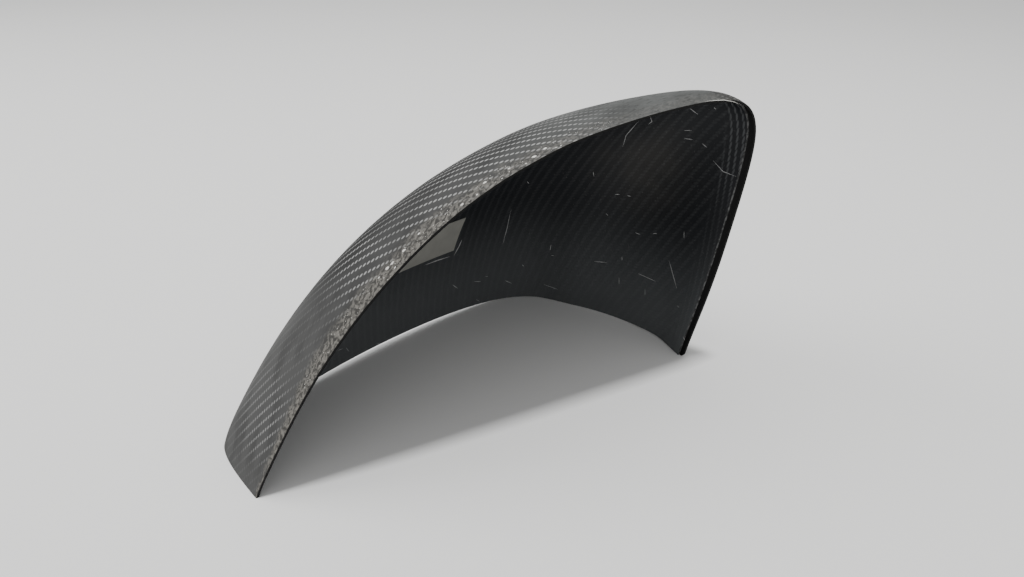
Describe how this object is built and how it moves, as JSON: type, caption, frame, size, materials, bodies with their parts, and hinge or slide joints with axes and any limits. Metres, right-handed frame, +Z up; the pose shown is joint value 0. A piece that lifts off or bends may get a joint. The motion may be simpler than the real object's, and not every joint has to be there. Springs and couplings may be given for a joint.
{
  "type": "wing mirror cover",
  "caption": "Thin double-curved carbon shell that caps the back and top of a wing mirror, open at the front and below, with a thinned seat along its rim and a blank label inside.",
  "frame": {"origin": "bottom centre of the bounding box, on the floor that the lower edge stands on", "axes": "+X along the opening from the pointed tip to the tall outer side, +Y back from the flat rim, +Z up"},
  "size_m": [0.2576, 0.1004, 0.1414],
  "materials": {
    "carbon_laminate": "satin clear coat over twill, worn along the rim",
    "label_film": "silver-grey film, blank"
  },
  "bodies": {
    "root": {"cover_shell": "carbon_laminate", "inner_label": "label_film"}
  },
  "joints": []
}
